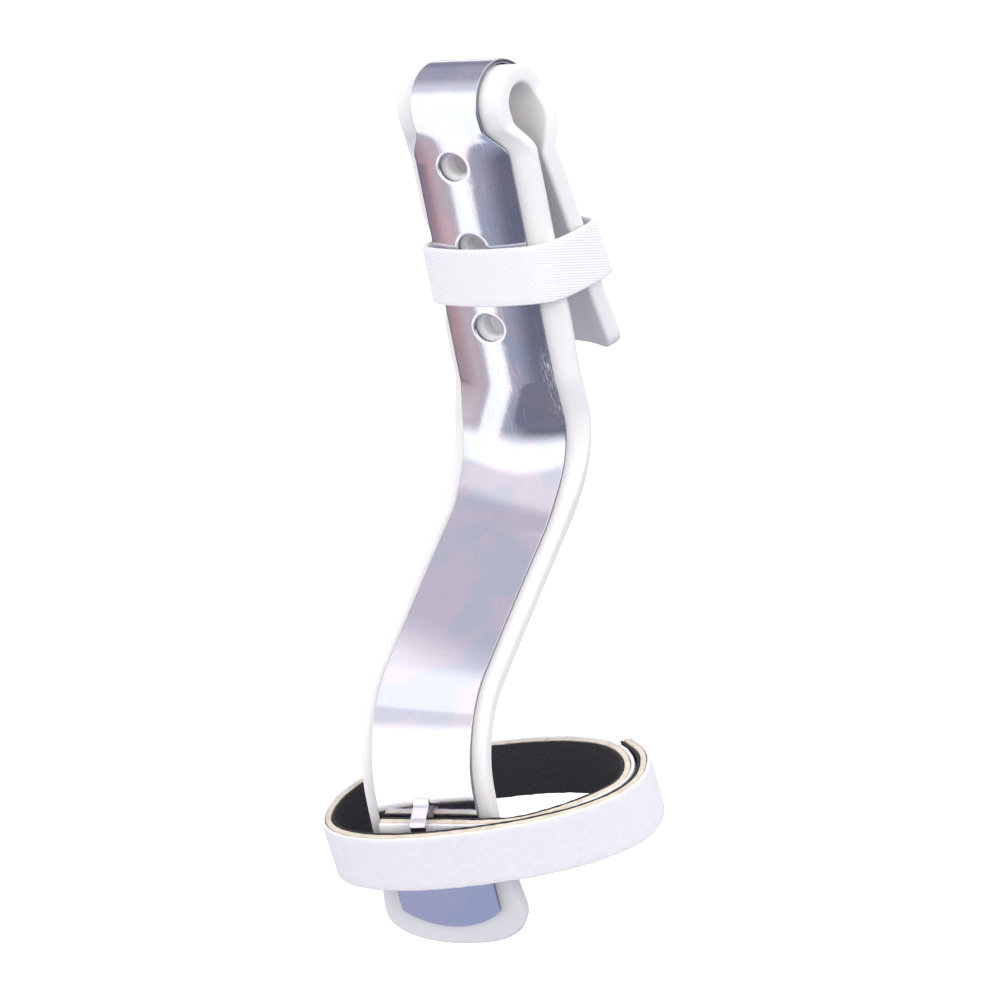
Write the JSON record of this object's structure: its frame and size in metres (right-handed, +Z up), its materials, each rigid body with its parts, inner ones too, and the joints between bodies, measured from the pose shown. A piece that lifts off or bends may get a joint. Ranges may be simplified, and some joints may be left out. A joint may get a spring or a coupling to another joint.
{
  "type": "finger splint",
  "caption": "Bent aluminium finger splint lined with foam, with a trough and fingertip loop, a woven finger strap and a wrapped wrist strap.",
  "frame": {"origin": "middle of the finger hollow, between the two legs of the strip, at the height of the middle vent hole", "axes": "+Z up along the finger trough towards the fingertip loop, -Y out of the palm side, +X to the right as seen from the palm side"},
  "size_m": [0.068, 0.0945, 0.1734],
  "materials": {
    "aluminium": "satin rolled sheet with fine lengthwise scratches",
    "foam": "matt closed-cell foam",
    "woven_tape": "woven tape with fine diagonal ribs",
    "brushed_pile": "short brushed loop pile",
    "strap_backing": "cream foam-backed cloth",
    "hook_layer": "black moulded hooks"
  },
  "bodies": {
    "root": {"aluminium_strip": "aluminium", "foam_pad": "foam", "finger_strap": "woven_tape", "wrist_strap_pile": "brushed_pile", "wrist_strap_backing": "strap_backing", "wrist_strap_hooks": "hook_layer"}
  },
  "joints": []
}
